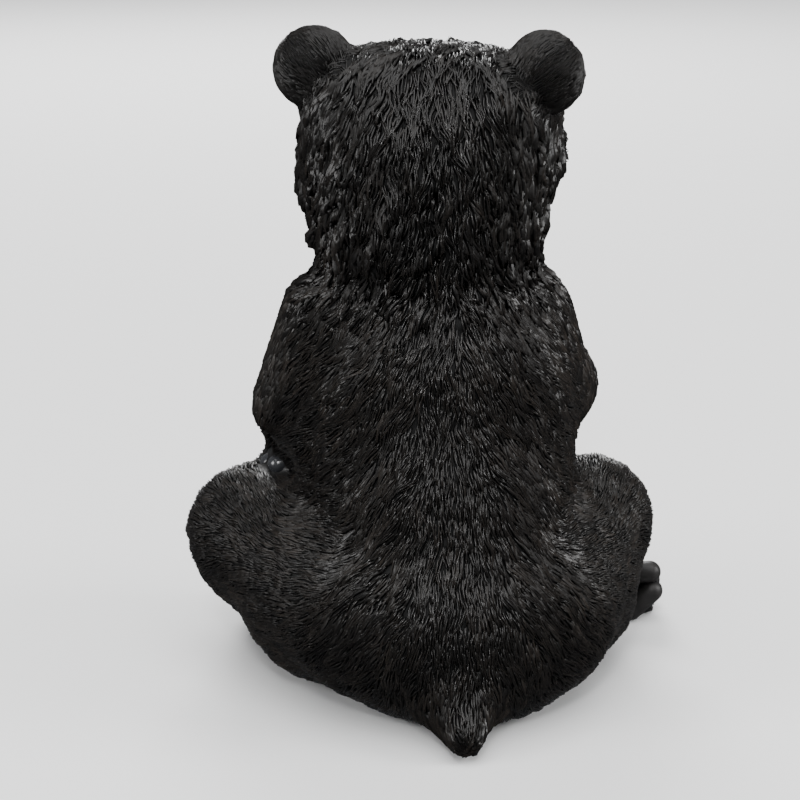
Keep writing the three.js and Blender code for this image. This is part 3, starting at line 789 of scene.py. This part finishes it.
# The soles of the hind feet: two leathery pads on each, low domes set in the casting. Each sole
# is given by its middle, the way it faces and the way its toes point.
BALL_PAD = ((15, 9.5, 5), 11.5, 8)  # radii, how far out and how far towards the toes
HEEL_PAD = ((9.5, 8, 5), 10.5, -13)
PADS = [
    ((77, -84, 31), (0, -1, 0.2), (0, 0.2, 1)),
    ((-100, -62, 20), (0, -0.7, 0.7), (-1, 0, 0)),
]
pads = []
for sole, facing, toes_way in PADS:
    facing, toes_way = Vector(facing).normalized(), Vector(toes_way).normalized()
    for radii, out, forward in (BALL_PAD, HEEL_PAD):
        bpy.ops.mesh.primitive_uv_sphere_add(segments=40, ring_count=24, radius=1)
        pad = bpy.context.object
        turn = Matrix((toes_way.cross(facing), toes_way, facing)).transposed()
        for v in pad.data.vertices:
            v.co = turn @ Vector(c * r * unit for c, r in zip(v.co, radii))
        pad.location = spot(*(Vector(sole) + facing * out + toes_way * forward))
        bpy.ops.object.transform_apply(location=True, rotation=True, scale=True)
        pads.append(pad)
finish_piece(joined("sole_pads", pads), smooth_resin)

# The face: eyeballs under rolled lids, and a bare nose with two nostrils and a groove down its
# middle. Each is a ball worked to shape and set in the casting. The eyes are painted with a
# black enamel that mirrors like glass; the rest is the buffed resin.
EYE_RADIUS = 6.2 * unit
EYE_COLOUR = colour("#060505")
enamel, _ = resin("glossy black enamel", Base_Color=EYE_COLOUR, Roughness=0.08, IOR=1.5)
eyeballs, lids = [], []
for at, side in zip(EYES, (1, -1)):
    way = head_way(side * 0.47, -0.83, 0.31).normalized()
    bpy.ops.mesh.primitive_uv_sphere_add(segments=32, ring_count=20, radius=EYE_RADIUS)
    eyeballs.append(placed(bpy.context.object, at + way * 0.6 * MILLI, way))
    bpy.ops.mesh.primitive_torus_add(major_segments=36, minor_segments=12, major_radius=0.9 * EYE_RADIUS,
                                     minor_radius=0.2 * EYE_RADIUS)
    lid = bpy.context.object
    lid.scale = (1, 0.86, 1.2)
    lids.append(placed(lid, at + way * 0.5 * EYE_RADIUS, way))
finish_piece(joined("eyes", eyeballs), enamel)
finish_piece(joined("eyelids", lids), smooth_resin)

NOSE_RADII = (13.2, 7.6, 9.2)
NOSE_TAPER = 0.32
NOSTRIL_DEPTH = 4.2
NOSTRIL_SIDE = 5.8  # how far a nostril is from the nose's middle
GROOVE_DEPTH = 1.2
bpy.ops.mesh.primitive_uv_sphere_add(segments=56, ring_count=36, radius=1)
nose = bpy.context.object
for v in nose.data.vertices:
    x, y, z = (c * r for c, r in zip(v.co, NOSE_RADII))
    x *= 1 - NOSE_TAPER * max(0, -v.co.z)
    front = max(0, -v.co.y)
    for side in (1, -1):
        y += NOSTRIL_DEPTH * front * math.exp(-((x - side * NOSTRIL_SIDE) ** 2 + 0.8 * (z + 1.2) ** 2) / 5.0)
    y += GROOVE_DEPTH * front * math.exp(-x * x / 0.9) * min(1, max(0, 0.6 - v.co.z))
    v.co = head_way(x * unit, y * unit, z * unit)
nose.location = NOSE
bpy.ops.object.transform_apply(location=True, rotation=True, scale=True)
finish_piece(joined("nose", [nose]), smooth_resin)

# The room: a plain pale floor, soft light from large panels, and the camera of the photograph,
# which looks at the bear's back from a little to its left and above.
bpy.ops.mesh.primitive_plane_add(size=80, location=(0, 0, 0))
floor = bpy.context.object
floor.name = "floor"
pale_floor, _ = resin("pale floor", Base_Color=colour("#fafafa"), Roughness=0.9)
floor.data.materials.append(pale_floor)
floor.visible_glossy = False

bpy.ops.mesh.primitive_uv_sphere_add(segments=64, ring_count=32, radius=12)
backdrop = bpy.context.object
backdrop.name = "backdrop"
pale_light, light_shader = resin("pale backdrop", Base_Color=colour("#000000"), Specular_IOR_Level=0.0)
light_shader.inputs["Emission Color"].default_value = colour("#fafbfd")
light_shader.inputs["Emission Strength"].default_value = 4.0
backdrop.data.materials.append(pale_light)
for ray in ("visible_diffuse", "visible_glossy", "visible_transmission", "visible_shadow"):
    setattr(backdrop, ray, False)

world = bpy.data.worlds.new("pale room")
bpy.context.scene.world = world
world.use_nodes = True
world.node_tree.nodes["Background"].inputs["Color"].default_value = colour("#f4f7fb")
world.node_tree.nodes["Background"].inputs["Strength"].default_value = 0.18

ceiling = bpy.data.lights.new("ceiling light", "SUN")
ceiling.energy = 2.8
ceiling.angle = math.radians(60)
ceiling_at = bpy.data.objects.new("ceiling light", ceiling)
bpy.context.collection.objects.link(ceiling_at)
ceiling_at.rotation_euler = (math.radians(-15), 0, 0)


def panel(name, place, aim, size, power):
    """A square lamp of the given size in metres, turned towards a point."""
    lamp = bpy.data.lights.new(name, "AREA")
    lamp.shape = "SQUARE"
    lamp.size = size
    lamp.energy = power
    holder = bpy.data.objects.new(name, lamp)
    bpy.context.collection.objects.link(holder)
    holder.location = place
    holder.rotation_euler = (Vector(aim) - Vector(place)).to_track_quat("-Z", "Y").to_euler()


PANELS = [  # each lamp's name, its place and aim, its width in metres and its power in watts
    ("left panel", (1.7, 0.5, 0.8), (0, 0, 0.15), 0.8, 18),
    ("right panel", (-1.7, 0.5, 0.8), (0, 0, 0.15), 0.8, 26),
    ("near panel", (0.5, 2.3, 1.9), (0, 0, 0.15), 0.4, 26),
    ("far panel", (0, -3.0, 2.0), (0, 0, 0.2), 1.6, 100),
]
for lamp_values in PANELS:
    panel(*lamp_values)

AZIMUTH = math.radians(172)
ELEVATION = math.radians(15)
DISTANCE = 1.1
FRAME_PIXELS = 800
FOCAL_PIXELS = 2144.1
TARGET = Vector((0, 0, 0.17))  # it shows at this pixel of the photograph
TARGET_PIXEL = (448.7, 364.4)
back = Vector((math.sin(AZIMUTH) * math.cos(ELEVATION), -math.cos(AZIMUTH) * math.cos(ELEVATION),
               math.sin(ELEVATION)))
right = Vector((math.cos(AZIMUTH), math.sin(AZIMUTH), 0))
above = back.cross(right)
camera_data = bpy.data.cameras.new("camera")
camera = bpy.data.objects.new("camera", camera_data)
bpy.context.collection.objects.link(camera)
camera_data.sensor_width = 36
camera_data.lens = FOCAL_PIXELS * camera_data.sensor_width / FRAME_PIXELS
camera.location = TARGET + back * DISTANCE
across = (TARGET_PIXEL[0] - FRAME_PIXELS / 2) / FOCAL_PIXELS * DISTANCE
down = (TARGET_PIXEL[1] - FRAME_PIXELS / 2) / FOCAL_PIXELS * DISTANCE
aim = TARGET - right * across + above * down
camera.rotation_euler = (aim - camera.location).to_track_quat("-Z", "Y").to_euler()
bpy.context.scene.camera = camera
